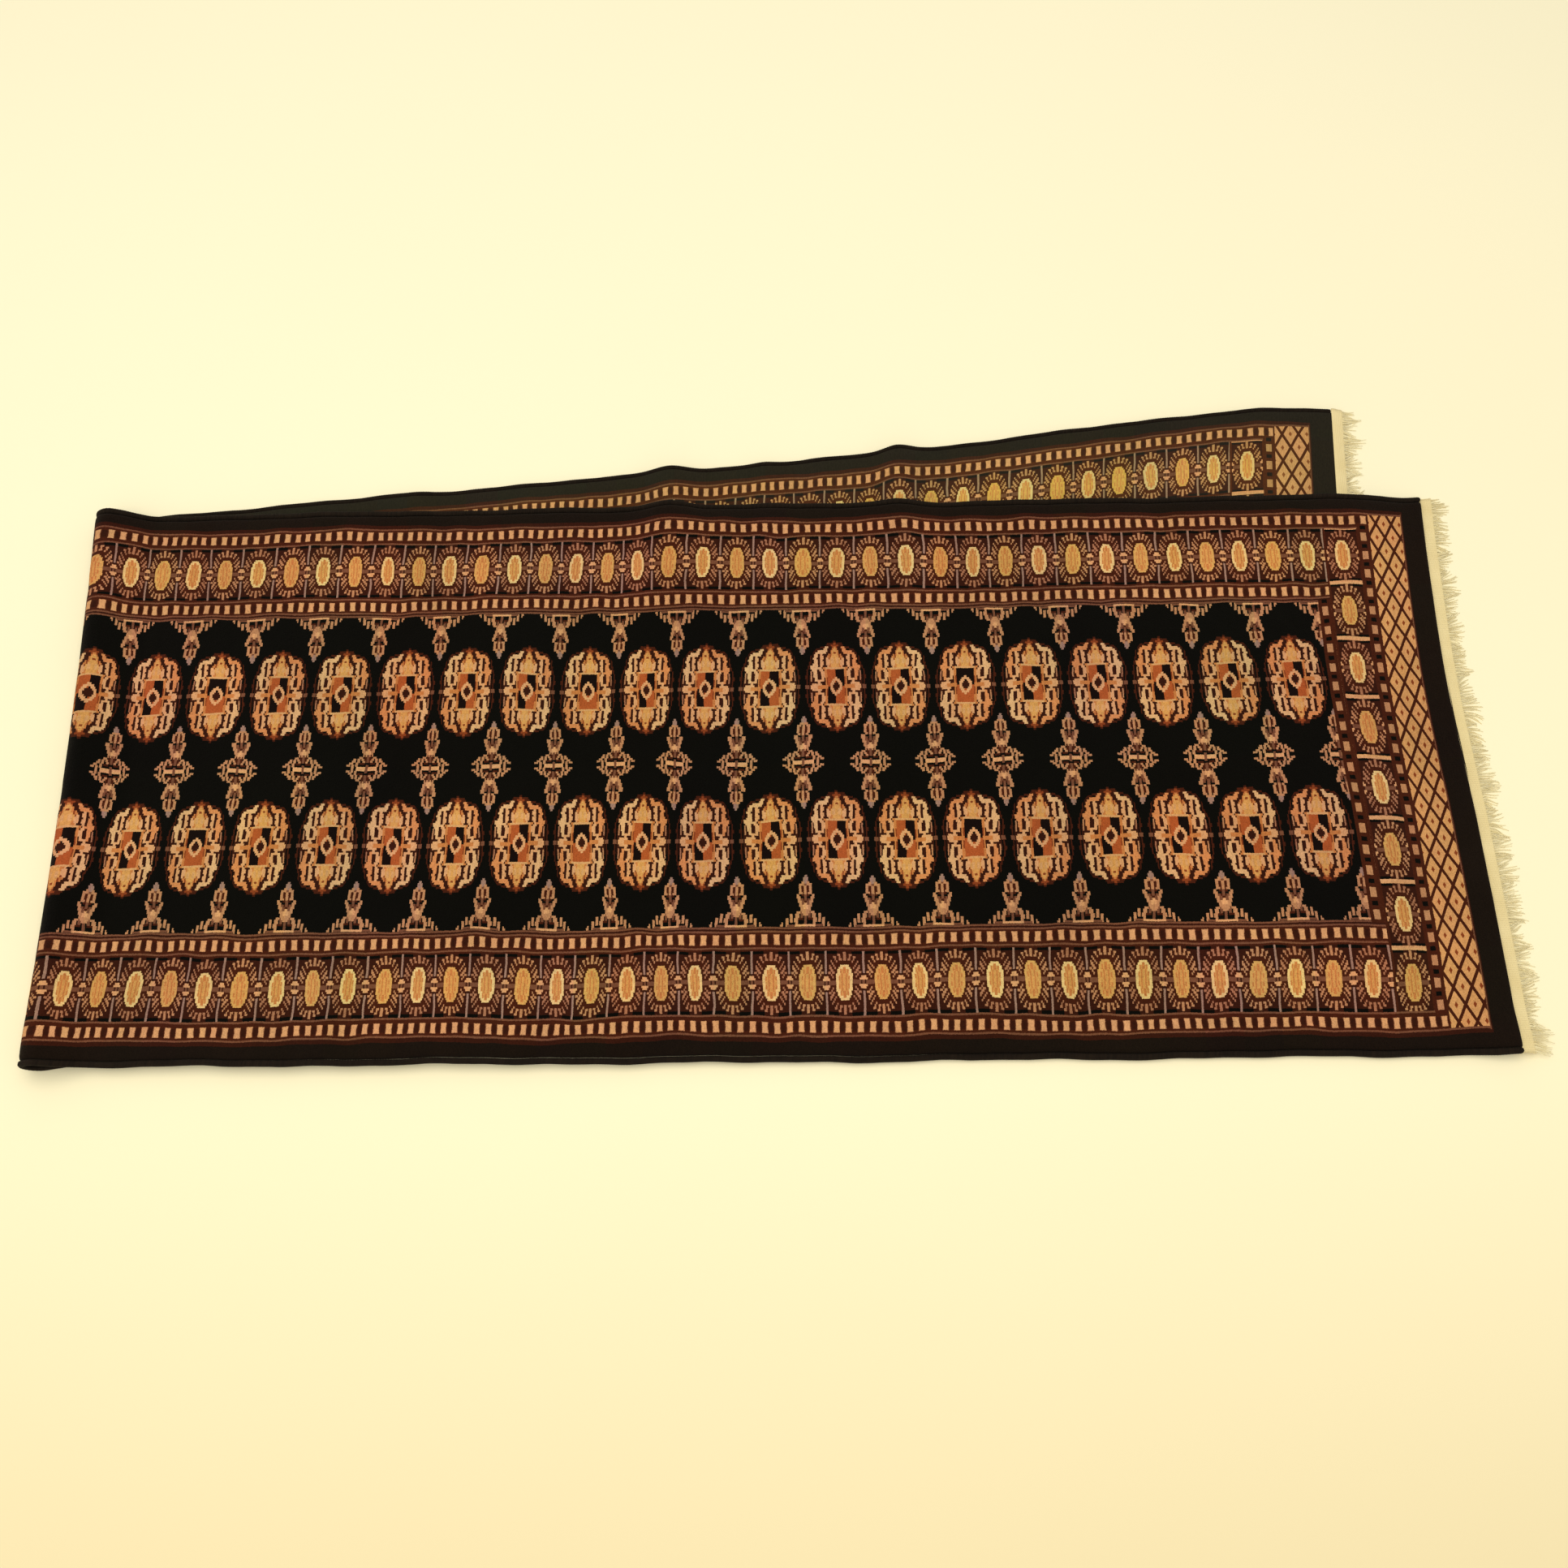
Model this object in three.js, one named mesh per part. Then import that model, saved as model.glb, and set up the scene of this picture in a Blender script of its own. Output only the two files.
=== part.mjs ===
// Bokhara runner rug, folded once across its middle and lying on a flat surface.
// The pile is on the outside of the fold, so the lower half shows its back where it fans out.
// Millimetres, +Z up. +X runs from the fold to the fringed ends, +Y across the rug.
//
// Every solid is drawn on the flat rug first, as (along, across, height): along is measured
// from the fold line and is negative on the lower half, across is measured from the middle
// towards the far side, and height starts at the back of the weave and ends at the pile tips.
// lay() then carries the flat rug to where it lies.
import * as THREE from 'three';

const degrees = Math.PI / 180;

// The rug as it comes off the loom
const rug = {
  width: 770, // over both side cords
  upperLength: 1806, // knotted pile, from the fold line to the upper end
  lowerLength: 1740, // knotted pile, from the fold line to the lower end
  foundation: 2.5, // cotton warps and wefts
  pile: 6.5,
};
const thickness = rug.foundation + rug.pile;
const middleOfWeave = rug.foundation / 2; // keeps its length where the rug bends
const seam = 0.3; // between a side cord and the knotted body

const cord = { width: 8, height: 8.4 };

const fringe = {
  seam: 0.8, // wider than a cord's, as the upper end edge is not quite straight
  web: 16, // flat woven strip before the loose ends
  tuft: 20, // mean length of the loose ends
  webThickness: 2,
  teeth: 44,
  toothRoot: 0.72, // share of the tooth spacing
  toothTip: 0.4,
  unevenness: 0.25, // share of the tuft length
};

// The fold, seen from the near side: a round bend, a ramp down and a soft sag
const fold = {
  lean: 1.6 * degrees, // of the fold line from square
  bow: 7, // how far its ends reach beyond its middle
  bowFade: 300,
  bendRadius: 13,
  rampSlope: 22 * degrees,
  sagRadius: 60,
  reach: 2.5, // of the outer face, past the fold line
};
const layerGap = 2; // between the backs of the two halves

// How the lower half strays from a straight fold: distance from the fold, drift of
// its far edge, turn of its rows of knots in degrees
const stray = [
  { from: 0, drift: 0, turn: 0 },
  { from: 200, drift: 6, turn: -0.6 },
  { from: 500, drift: 13, turn: -2.0 },
  { from: 700, drift: 17, turn: -3.0 },
  { from: 950, drift: 23, turn: -4.2 },
  { from: 1150, drift: 31, turn: -5.4 },
  { from: 1290, drift: 40, turn: -6.7 },
  { from: 1420, drift: 50, turn: -8.0 },
  { from: 1560, drift: 57, turn: -8.8 },
  { from: 1620, drift: 56, turn: -8.2 },
  { from: 1740, drift: 45, turn: -7.2 },
];

// How far the upper end edge strays from square, from the near side to the far side
const endWander = [
  { from: -385, drift: 8 },
  { from: -290, drift: 8 },
  { from: -80, drift: 3 },
  { from: 0, drift: -1 },
  { from: 120, drift: -5 },
  { from: 290, drift: -2 },
  { from: 385, drift: 2 },
];
const endWanderStart = 1250;
const endWanderFull = 1750;

// Ripples that lift both halves off the surface: crest line x, crest height, half widths
// before and after it, where across it is highest, half widths towards and away from the viewer
const ripples = [
  { x: 776, height: 18, before: 36, after: 36, y: 450, near: 140, far: 300 },
  { x: 1092, height: 18, before: 24, after: 28, y: 484, near: 140, far: 300 },
  { x: 905, height: 5, before: 24, after: 20, y: 465, near: 60, far: 300 },
  { x: 415, height: 4, before: 50, after: 26, y: 415, near: 50, far: 300 },
];

// Waves of the upper half alone
const waves = [
  { x: 802, height: 11, before: 52, after: 130, y: 335, near: 130, far: 45 },
  { x: 1092, height: 4, before: 55, after: 55, y: 330, near: 110, far: 60 },
  { x: 285, height: 2, before: 80, after: 80, y: 60, near: 500, far: 500 },
  { x: 560, height: 3, before: 60, after: 60, y: -40, near: 420, far: 420 },
  { x: 1275, height: 3, before: 60, after: 80, y: -160, near: 300, far: 380 },
  { x: 1500, height: 2, before: 70, after: 70, y: 80, near: 420, far: 420 },
];

// The upper half comes down to the surface past the edges of the lower one
const drop = { clear: 14, run: 90 };
const cornerCurl = { height: 8, reach: 70 };

// Rows of the mesh: stretches of the rug's length and the step within each
const stretches = [
  { from: -1740, to: -1160, step: 58 },
  { from: -1160, to: -1050, step: 18 },
  { from: -1050, to: -970, step: 40 },
  { from: -970, to: -730, step: 24 },
  { from: -730, to: -30, step: 70 },
  { from: -30, to: 18, step: 5.4 },
  { from: 18, to: 90, step: 12 },
  { from: 90, to: 720, step: 63 },
  { from: 720, to: 960, step: 24 },
  { from: 960, to: 1180, step: 27.5 },
  { from: 1180, to: 1600, step: 60 },
  { from: 1600, to: 1806, step: 26 },
];
const bodyEdge = rug.width / 2 - cord.width - seam;
const columns = [-bodyEdge, -345, -315, -280, -245, -190, -80, 0, 120, 210, 285, 335, bodyEdge];

// Easing from 0 to 1
function ease(t) {
  const c = Math.min(Math.max(t, 0), 1);
  return c * c * (3 - 2 * c);
}

// Value of one column of a table between its rows, as a smooth curve through them
function along(table, at, column) {
  const last = table.length - 1;
  const clamped = Math.min(Math.max(at, table[0].from), table[last].from);
  let i = 0;
  while (i < last - 1 && clamped > table[i + 1].from) i += 1;
  const slopeAt = (k) => {
    const a = table[Math.max(k - 1, 0)];
    const b = table[Math.min(k + 1, last)];
    return (b[column] - a[column]) / (b.from - a.from);
  };
  const [p, q] = [table[i], table[i + 1]];
  const span = q.from - p.from;
  const t = (clamped - p.from) / span;
  const level = p[column] * (1 - ease(t)) + q[column] * ease(t);
  const lean = t * (1 - t) * (slopeAt(i) * (1 - t) - slopeAt(i + 1) * t) * span;
  return level + lean;
}

// Sum of the soft humps of a table at one place
function humps(table, x, y) {
  let lift = 0;
  for (const row of table) {
    const dx = (x - row.x) / (x < row.x ? row.before : row.after);
    const dy = (y - row.y) / (y < row.y ? row.near : row.far);
    lift += row.height * Math.exp(-dx * dx - dy * dy);
  }
  return lift;
}

// Heights of the middle of the weave in the flat stretches of both halves
const lowerLevel = thickness - middleOfWeave;
const upperLevel = thickness + layerGap + middleOfWeave;

// The fold's lengths, from the driving sizes above
const bend = (() => {
  const { bendRadius, sagRadius, rampSlope, reach } = fold;
  const fall = lowerLevel + 2 * bendRadius - upperLevel;
  const ramp = (fall - (1 - Math.cos(rampSlope)) * (bendRadius + sagRadius)) / Math.sin(rampSlope);
  const centre = bendRadius + (thickness - middleOfWeave) - reach;
  const rampRun = ramp * Math.cos(rampSlope);
  const level = centre + (bendRadius + sagRadius) * Math.sin(rampSlope) + rampRun;
  const sagArc = sagRadius * rampSlope;
  const bendArc = bendRadius * (Math.PI + rampSlope);
  return { ramp, centre, level, sagArc, bendArc, end: level - sagArc - ramp - bendArc };
})();

// Section of the fold: place and height at a distance from the fold line
function foldSection(p) {
  const { bendRadius, sagRadius, rampSlope } = fold;
  let back = bend.level - p;
  if (back <= 0) return [p, upperLevel];
  if (back <= bend.sagArc) {
    const turn = back / sagRadius;
    return [bend.level - sagRadius * Math.sin(turn), upperLevel + sagRadius * (1 - Math.cos(turn))];
  }
  back -= bend.sagArc;
  if (back <= bend.ramp) {
    const left = bend.ramp - back;
    return [
      bend.centre + bendRadius * Math.sin(rampSlope) + left * Math.cos(rampSlope),
      lowerLevel + bendRadius * (1 + Math.cos(rampSlope)) - left * Math.sin(rampSlope),
    ];
  }
  back -= bend.ramp;
  if (back <= bend.bendArc) {
    const turn = rampSlope - back / bendRadius;
    return [
      bend.centre + bendRadius * Math.sin(turn),
      lowerLevel + bendRadius * (1 + Math.cos(turn)),
    ];
  }
  return [bend.centre + back - bend.bendArc, lowerLevel];
}

// Plan of a point of the lower half, with its drift and the turn of its rows of knots
function lowerPlan(x, q, b) {
  const away = Math.max(x - bend.centre, 0);
  const heading = 2 * fold.lean;
  const turned = heading + along(stray, away, 'turn') * degrees;
  const drift = along(stray, away, 'drift');
  const inward = rug.width / 2 - b;
  const u = x * Math.cos(fold.lean) - q * Math.sin(fold.lean);
  const v = x * Math.sin(fold.lean) + q * Math.cos(fold.lean);
  return [
    u - drift * Math.sin(heading) + inward * (Math.sin(turned) - Math.sin(heading)),
    v + drift * Math.cos(heading) - inward * (Math.cos(turned) - Math.cos(heading)),
  ];
}

// Near edge and end edge of the lower half, as points in plan
const lowerNearEdge = [];
for (let away = 0; away <= rug.lowerLength; away += 60) {
  const q = -rug.width / 2 + away * Math.sin(fold.lean);
  lowerNearEdge.push(lowerPlan(away, q, -rug.width / 2));
}
const lowerEndShift = rug.width * Math.sin(fold.lean);
const lowerEndNear = lowerNearEdge[lowerNearEdge.length - 1];
const lowerEndFar = lowerPlan(
  rug.lowerLength - lowerEndShift,
  rug.width / 2 + rug.lowerLength * Math.sin(fold.lean),
  rug.width / 2,
);

// Height of a straight line through two points, x to y or y to x
function lineThrough(a, b, at) {
  return a[1] + ((b[1] - a[1]) * (at - a[0])) / (b[0] - a[0]);
}

// Share of the full height at which the upper half lies: 1 over the lower half, 0 past it
function support(x, y) {
  const edge = lowerNearEdge;
  let i = 0;
  while (i < edge.length - 2 && x > edge[i + 1][0]) i += 1;
  const pastNear = lineThrough(edge[i], edge[i + 1], x) - y;
  const endX = lineThrough([lowerEndNear[1], lowerEndNear[0]], [lowerEndFar[1], lowerEndFar[0]], y);
  const past = Math.hypot(Math.max(pastNear, 0), Math.max(x - endX, 0));
  return 1 - ease((past - drop.clear) / drop.run);
}

// Where the middle of the weave lies
function lay(a, b) {
  const p = a * Math.cos(fold.lean) + b * Math.sin(fold.lean);
  const q = -a * Math.sin(fold.lean) + b * Math.cos(fold.lean);
  let [x, z] = foldSection(p);
  const reach = Math.max(Math.abs(p) - bend.level, 0) / fold.bowFade;
  x -= fold.bow * (2 * b / rug.width) ** 2 * (1 - ease(reach));
  if (p < bend.end) {
    const [u, v] = lowerPlan(x, q, b);
    const past = Math.max(-a - rug.lowerLength, 0);
    const fall = lowerLevel - fringe.webThickness / 2 - seam;
    return new THREE.Vector3(u, v, z + humps(ripples, u, v) - fall * ease(past / (1.6 * fringe.web)));
  }
  const u = x * Math.cos(fold.lean) - q * Math.sin(fold.lean);
  const v = x * Math.sin(fold.lean) + q * Math.cos(fold.lean);
  const wander = along(endWander, b, 'drift') * ease((a - endWanderStart) / (endWanderFull - endWanderStart));
  const settled = ease((p - bend.level) / 150);
  const corner = Math.hypot(a - rug.upperLength, b + rug.width / 2);
  const curl = cornerCurl.height * (1 - ease(corner / cornerCurl.reach));
  const sink = (upperLevel - middleOfWeave) * (1 - support(u, v));
  const lift = humps(ripples, u, v) + humps(waves, u, v) * support(u, v) + curl - sink;
  return new THREE.Vector3(u + wander, v, z + settled * lift);
}

// Where a point of the flat rug at any height lies: the weave's middle moved along its normal
function place(a, b, height) {
  const step = 1;
  const alongRug = lay(a + step, b).sub(lay(a - step, b));
  const acrossRug = lay(a, b + step).sub(lay(a, b - step));
  const normal = alongRug.cross(acrossRug).normalize();
  return lay(a, b).addScaledVector(normal, height - middleOfWeave);
}

// Closed geometry from points and triangles
function closedGeometry(points, triangles) {
  const geometry = new THREE.BufferGeometry();
  geometry.setAttribute('position', new THREE.Float32BufferAttribute(points.flatMap((v) => v.toArray()), 3));
  geometry.setIndex(triangles.flat());
  geometry.computeVertexNormals();
  return geometry;
}

// Plate with any outline: flat points [along, across], its four-sided faces seen from the
// pile side, and its two heights. Walls close it along each edge that only one face uses.
function plate(flat, faces, low, high) {
  const points = [
    ...flat.map(([a, b]) => place(a, b, high)),
    ...flat.map(([a, b]) => place(a, b, low)),
  ];
  const below = (i) => i + flat.length;
  const edges = new Set();
  const triangles = [];
  for (const face of faces) {
    const [i, j, k, l] = face;
    triangles.push([i, j, k], [i, k, l]);
    triangles.push([below(i), below(k), below(j)], [below(i), below(l), below(k)]);
    face.forEach((from, n) => edges.add(`${from} ${face[(n + 1) % 4]}`));
  }
  for (const edge of edges) {
    const [i, j] = edge.split(' ').map(Number);
    if (edges.has(`${j} ${i}`)) continue;
    triangles.push([below(i), below(j), j], [below(i), j, i]);
  }
  return closedGeometry(points, triangles);
}

// Mesh rows along the rug, from the stretches
function rows() {
  const list = [stretches[0].from];
  for (const { from, to, step } of stretches) {
    const count = Math.round((to - from) / step);
    for (let i = 1; i <= count; i += 1) list.push(from + ((to - from) * i) / count);
  }
  return list;
}

// Knotted body: pile and foundation in one folded sheet
function knottedBody() {
  const flat = rows().flatMap((a) => columns.map((b) => [a, b]));
  const wide = columns.length;
  const faces = [];
  for (let i = 0; i < flat.length - wide; i += 1) {
    if (i % wide === wide - 1) continue;
    faces.push([i, i + wide, i + wide + 1, i + 1]);
  }
  return plate(flat, faces, 0, thickness);
}

// Side cord: the outer warps bound round with yarn, along the whole edge
function sideCord(side) {
  const sides = 6;
  const middle = side * (rug.width - cord.width) / 2;
  const points = [];
  const triangles = [];
  const stations = rows();
  stations.forEach((a, ring) => {
    for (let k = 0; k < sides; k += 1) {
      const turn = (2 * Math.PI * (k + 0.5)) / sides;
      const b = middle + (cord.width / 2) * Math.cos(turn);
      points.push(place(a, b, thickness / 2 + (cord.height / 2) * Math.sin(turn)));
      if (ring === 0) continue;
      const [here, next] = [ring * sides + k, ring * sides + ((k + 1) % sides)];
      triangles.push([here - sides, next, here], [here - sides, next - sides, next]);
    }
  });
  const end = (stations.length - 1) * sides;
  for (let k = 1; k < sides - 1; k += 1) {
    triangles.push([0, k + 1, k], [end, end + k, end + k + 1]);
  }
  return closedGeometry(points, triangles);
}

// End fringe: a flat woven strip with a comb of loose ends; end is 1 for the upper one
function endFringe(end) {
  const length = end > 0 ? rug.upperLength : rug.lowerLength;
  const root = length + fringe.seam;
  const spacing = rug.width / fringe.teeth;
  const flat = [];
  const faces = [];
  // faces turn the other way on the lower end, where along runs backwards
  const face = (i, j, k, l) => faces.push(end > 0 ? [i, j, k, l] : [l, k, j, i]);
  for (let k = 0; k < fringe.teeth; k += 1) {
    const start = -rug.width / 2 + k * spacing;
    const tooth = start + fringe.toothRoot * spacing;
    const middle = (start + tooth) / 2;
    const half = (fringe.toothTip * spacing) / 2;
    const tip = length + fringe.web + fringe.tuft * (1 + fringe.unevenness * Math.sin(2.4 * k * k));
    const at = flat.length;
    flat.push([root, start], [length + fringe.web, start]);
    flat.push([root, tooth], [length + fringe.web, tooth]);
    flat.push([tip, middle - half], [tip, middle + half]);
    face(at, at + 1, at + 3, at + 2);
    face(at + 1, at + 4, at + 5, at + 3);
    if (k < fringe.teeth - 1) face(at + 2, at + 3, at + 7, at + 6);
  }
  const turned = flat.map(([a, b]) => [end * a, b]);
  const low = middleOfWeave - fringe.webThickness / 2;
  return plate(turned, faces, low, low + fringe.webThickness);
}

// One named piece with its own material
function piece(name, geometry, color, roughness) {
  const material = new THREE.MeshStandardMaterial({ color, roughness, metalness: 0 });
  const mesh = new THREE.Mesh(geometry, material);
  mesh.name = name;
  return mesh;
}

const blackWool = 0x15100c;
const creamCotton = 0xe6d8b4;

const group = new THREE.Group();
group.add(piece('rug_body', knottedBody(), 0x4a2f20, 0.95));
group.add(piece('side_cord_far', sideCord(1), blackWool, 0.9));
group.add(piece('side_cord_near', sideCord(-1), blackWool, 0.9));
group.add(piece('fringe_upper', endFringe(1), creamCotton, 0.95));
group.add(piece('fringe_lower', endFringe(-1), creamCotton, 0.95));

// The origin is the middle of the underside of the box around the whole rug
const box = new THREE.Box3().setFromObject(group);
const middle = box.getCenter(new THREE.Vector3());
group.children.forEach((mesh) => mesh.position.set(-middle.x, -middle.y, -box.min.z));

export default group;
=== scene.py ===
"""Bokhara runner rug, folded once: a knotted pile on its woven back, two wound side cords and two fringes.

Shapes are worked out on the flat rug first, in millimetres: a runs along it from the fold, b across it and
h up from the back of the weave. place() then folds them. Patterns are drawn as charts of knots.
"""

import bpy
import numpy as np
from mathutils import Matrix, Vector


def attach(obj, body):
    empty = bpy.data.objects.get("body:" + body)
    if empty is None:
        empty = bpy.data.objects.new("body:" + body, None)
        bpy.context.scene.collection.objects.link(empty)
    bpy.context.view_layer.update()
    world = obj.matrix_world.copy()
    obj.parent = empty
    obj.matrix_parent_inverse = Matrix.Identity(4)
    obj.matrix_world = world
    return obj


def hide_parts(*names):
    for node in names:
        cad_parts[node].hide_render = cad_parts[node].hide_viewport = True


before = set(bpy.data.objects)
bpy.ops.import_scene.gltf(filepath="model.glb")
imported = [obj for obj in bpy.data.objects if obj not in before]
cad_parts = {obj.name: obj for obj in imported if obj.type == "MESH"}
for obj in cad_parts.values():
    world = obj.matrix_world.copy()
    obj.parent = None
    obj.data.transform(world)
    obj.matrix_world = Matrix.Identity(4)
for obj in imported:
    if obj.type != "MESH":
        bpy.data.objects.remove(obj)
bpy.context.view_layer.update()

# ---------------------------------------------------------------- camera

CAMERA_AT = (0.06339, -0.82728, 1.89885)
CAMERA_LOOKS = (-0.02349, 0.35978, -0.93274)
CAMERA_UP = (0.01441, 0.93302, 0.35953)


def turned_to(at, looks, up):
    """Place and turn of a camera or lamp: its -Z along looks, its Y near up."""
    looks = Vector(looks).normalized()
    right = looks.cross(Vector(up)).normalized()
    turn = Matrix((right, right.cross(looks), -looks)).transposed().to_4x4()
    return Matrix.Translation(at) @ turn


camera = bpy.data.objects.new("camera", bpy.data.cameras.new("camera"))
camera.data.sensor_width = 36
camera.data.lens = 36.06
camera.data.dof.use_dof = False
camera.matrix_world = turned_to(CAMERA_AT, CAMERA_LOOKS, CAMERA_UP)
bpy.context.scene.collection.objects.link(camera)
bpy.context.scene.camera = camera

# ---------------------------------------------------------------- the fold, as in the CAD source

WIDTH, UPPER, LOWER = 770.0, 1806.0, 1740.0
THICKNESS, MIDDLE = 9.0, 1.25
CORD_WIDTH, CORD_HEIGHT, SEAM = 8.0, 8.4, 0.3
WEB, WEB_THICKNESS = 16.0, 2.0
LAYER_GAP = 2.0
ORIGIN = np.array([917.133, 73.069, 0.0])

LEAN, BOW, BOW_FADE = np.radians(1.6), 7.0, 300.0
BEND, SAG, SLOPE, REACH = 13.0, 60.0, np.radians(22), 2.5

# lower half: distance from the fold, how far its far edge drifts, degrees its rows turn
STRAY = np.array([
    [0, 0, 0], [200, 6, -0.6], [500, 13, -2.0], [700, 17, -3.0], [950, 23, -4.2],
    [1150, 31, -5.4], [1290, 40, -6.7], [1420, 50, -8.0], [1560, 57, -8.8],
    [1620, 56, -8.2], [1740, 45, -7.2]])
# upper end: place across, how far the edge wanders along
END_WANDER = np.array([
    [-385, 8], [-290, 8], [-80, 3], [0, -1], [120, -5], [290, -2], [385, 2]], float)
WANDER_START, WANDER_FULL = 1250.0, 1750.0
# humps: x, height, reach before and after, y, reach near and far
RIPPLES = [
    (776, 18, 36, 36, 450, 140, 300), (1092, 18, 24, 28, 484, 140, 300),
    (905, 5, 24, 20, 465, 60, 300), (415, 4, 50, 26, 415, 50, 300)]
WAVES = [
    (802, 11, 52, 130, 335, 130, 45), (1092, 4, 55, 55, 330, 110, 60),
    (285, 2, 80, 80, 60, 500, 500), (560, 3, 60, 60, -40, 420, 420),
    (1275, 3, 60, 80, -160, 300, 380), (1500, 2, 70, 70, 80, 420, 420)]
CLEAR, RUN = 14.0, 90.0
CURL, CURL_REACH = 8.0, 70.0
LIFT_RUN = 150
EDGE_WANDER_REACH = 90
FLOOR_GAP = 0.0002  # metres that every piece keeps from the floor

LOWER_LEVEL = THICKNESS - MIDDLE
UPPER_LEVEL = THICKNESS + LAYER_GAP + MIDDLE
FALL = LOWER_LEVEL + 2 * BEND - UPPER_LEVEL
RAMP = (FALL - (1 - np.cos(SLOPE)) * (BEND + SAG)) / np.sin(SLOPE)
CENTRE = BEND + THICKNESS - MIDDLE - REACH
LEVEL = CENTRE + (BEND + SAG) * np.sin(SLOPE) + RAMP * np.cos(SLOPE)
SAG_ARC, BEND_ARC = SAG * SLOPE, BEND * (np.pi + SLOPE)
END = LEVEL - SAG_ARC - RAMP - BEND_ARC


def ease(t):
    """3t^2 - 2t^3, held at 0 and 1 outside them."""
    t = np.clip(t, 0, 1)
    return t * t * (3 - 2 * t)


def along_table(table, at, column):
    """Smooth curve through a table's points: cubic Hermite, with the slope between a point's neighbours."""
    x, y = table[:, 0], table[:, column]
    after, before = np.r_[1:len(x), -1], np.r_[0, 0:len(x) - 1]
    slope = (y[after] - y[before]) / (x[after] - x[before])
    at = np.clip(at, x[0], x[-1])
    i = np.clip(np.searchsorted(x, at, side="left") - 1, 0, len(x) - 2)
    span = x[i + 1] - x[i]
    t = (at - x[i]) / span
    turn = (slope[i] * (1 - t) - slope[i + 1] * t) * span
    return y[i] * (1 - ease(t)) + y[i + 1] * ease(t) + t * (1 - t) * turn


def humps(rows, x, y):
    """Sum of soft humps exp(-dx^2 - dy^2), each with its own reach on its four sides."""
    total = np.zeros(np.broadcast(x, y).shape)
    for at_x, height, before, after, at_y, near, far in rows:
        dx = (x - at_x) / np.where(x < at_x, before, after)
        dy = (y - at_y) / np.where(y < at_y, near, far)
        total = total + height * np.exp(-dx * dx - dy * dy)
    return total


def fold_section(p):
    """The fold seen from its end: level above, a sag, a ramp, a half turn of radius BEND, level below."""
    back = LEVEL - p
    on_sag = back / SAG
    on_ramp = RAMP - (back - SAG_ARC)
    on_bend = SLOPE - (back - SAG_ARC - RAMP) / BEND
    where = [back <= 0, back <= SAG_ARC, back <= SAG_ARC + RAMP, back <= SAG_ARC + RAMP + BEND_ARC]
    x = np.select(where, [
        p, LEVEL - SAG * np.sin(on_sag),
        CENTRE + BEND * np.sin(SLOPE) + on_ramp * np.cos(SLOPE),
        CENTRE + BEND * np.sin(on_bend)], CENTRE + back - SAG_ARC - RAMP - BEND_ARC)
    z = np.select(where, [
        UPPER_LEVEL + 0 * p, UPPER_LEVEL + SAG * (1 - np.cos(on_sag)),
        LOWER_LEVEL + BEND * (1 + np.cos(SLOPE)) - on_ramp * np.sin(SLOPE),
        LOWER_LEVEL + BEND * (1 + np.cos(on_bend))], LOWER_LEVEL)
    return x, z


def lower_plan(x, q, b):
    """Plan of the lower half: turned by twice the lean, its far edge drifting and its rows turning as in
    STRAY."""
    away = np.maximum(x - CENTRE, 0)
    heading = 2 * LEAN
    turned = heading + np.radians(along_table(STRAY, away, 2))
    drift = along_table(STRAY, away, 1)
    inward = WIDTH / 2 - b
    u = x * np.cos(LEAN) - q * np.sin(LEAN)
    v = x * np.sin(LEAN) + q * np.cos(LEAN)
    return (u - drift * np.sin(heading) + inward * (np.sin(turned) - np.sin(heading)),
            v + drift * np.cos(heading) - inward * (np.cos(turned) - np.cos(heading)))


EDGE_STEPS = np.arange(0, LOWER + 1, 60.0)
NEAR_EDGE = np.stack(lower_plan(EDGE_STEPS, -WIDTH / 2 + EDGE_STEPS * np.sin(LEAN), -WIDTH / 2), 1)
END_NEAR = NEAR_EDGE[-1]
END_FAR = np.array(lower_plan(
    np.array(LOWER - WIDTH * np.sin(LEAN)), np.array(WIDTH / 2 + LOWER * np.sin(LEAN)),
    np.array(WIDTH / 2)))


def support(x, y):
    """1 where the lower half lies beneath, easing to 0 within RUN of its near edge or its end."""
    i = np.clip(np.searchsorted(NEAR_EDGE[:, 0], x) - 1, 0, len(NEAR_EDGE) - 2)
    low, high = NEAR_EDGE[i], NEAR_EDGE[i + 1]
    near = low[..., 1] + (high[..., 1] - low[..., 1]) * (x - low[..., 0]) / (high[..., 0] - low[..., 0])
    end = END_NEAR[0] + (END_FAR[0] - END_NEAR[0]) * (y - END_NEAR[1]) / (END_FAR[1] - END_NEAR[1])
    past = np.hypot(np.maximum(near - y, 0), np.maximum(x - end, 0))
    return 1 - ease((past - CLEAR) / RUN)


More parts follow.
